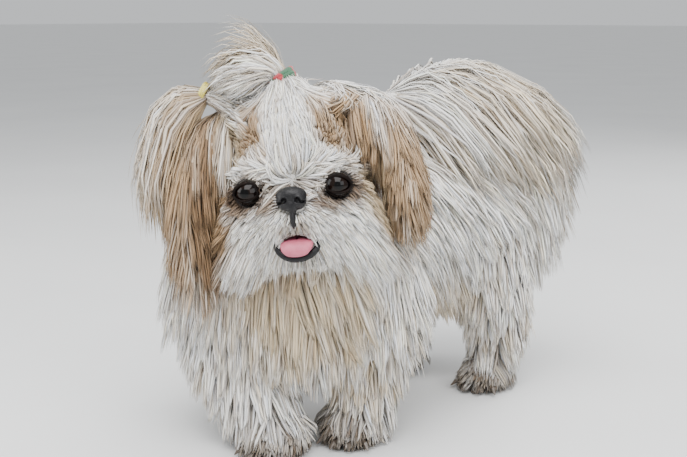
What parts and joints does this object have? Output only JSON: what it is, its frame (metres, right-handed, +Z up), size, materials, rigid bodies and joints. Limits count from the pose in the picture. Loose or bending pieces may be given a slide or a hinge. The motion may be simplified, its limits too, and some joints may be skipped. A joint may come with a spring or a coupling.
{
  "type": "shih tzu dog",
  "caption": "Life-size standing long-coated toy dog, head turned, tail plume over the back, hair tied in a topknot, with a narrow ribbon harness.",
  "frame": {"origin": "middle of the bottom of the bounding box, at the level of the soles", "axes": "+Y from the chest towards the rump, +X to the dog's left, +Z up"},
  "size_m": [0.2314, 0.403, 0.3336],
  "materials": {
    "coat": "long soft hair, white, cream and tan",
    "eye": "wet, dark brown",
    "nose": "moist, finely pebbled, black",
    "tongue": "moist, pink",
    "claw": "smooth horn, dark",
    "elastic_red": "covered elastic, red with green",
    "elastic_yellow": "covered elastic, yellow",
    "ribbon": "woven ribbon, burgundy with dark edges"
  },
  "bodies": {
    "root": {"band_red": "elastic_red", "band_yellow": "elastic_yellow", "claw_fore_left_1": "claw", "claw_fore_left_2": "claw", "claw_fore_left_3": "claw", "claw_fore_left_4": "claw", "claw_fore_right_1": "claw", "claw_fore_right_2": "claw", "claw_fore_right_3": "claw", "claw_fore_right_4": "claw", "claw_hind_left_1": "claw", "claw_hind_left_2": "claw", "claw_hind_left_3": "claw", "claw_hind_left_4": "claw", "claw_hind_right_1": "claw", "claw_hind_right_2": "claw", "claw_hind_right_3": "claw", "claw_hind_right_4": "claw", "ear_left": "coat", "ear_right": "coat", "eye_left": "eye", "eye_right": "eye", "foreleg_left": "coat", "foreleg_right": "coat", "forepaw_left": "coat", "forepaw_right": "coat", "harness_breast": "ribbon", "harness_girth": "ribbon", "head": "coat", "hindleg_left": "coat", "hindleg_right": "coat", "hindpaw_left": "coat", "hindpaw_right": "coat", "jaw": "coat", "neck": "coat", "nose": "nose", "side_tail": "coat", "tail": "coat", "tongue": "tongue", "topknot": "coat", "torso_front": "coat", "torso_rear": "coat"}
  },
  "joints": []
}
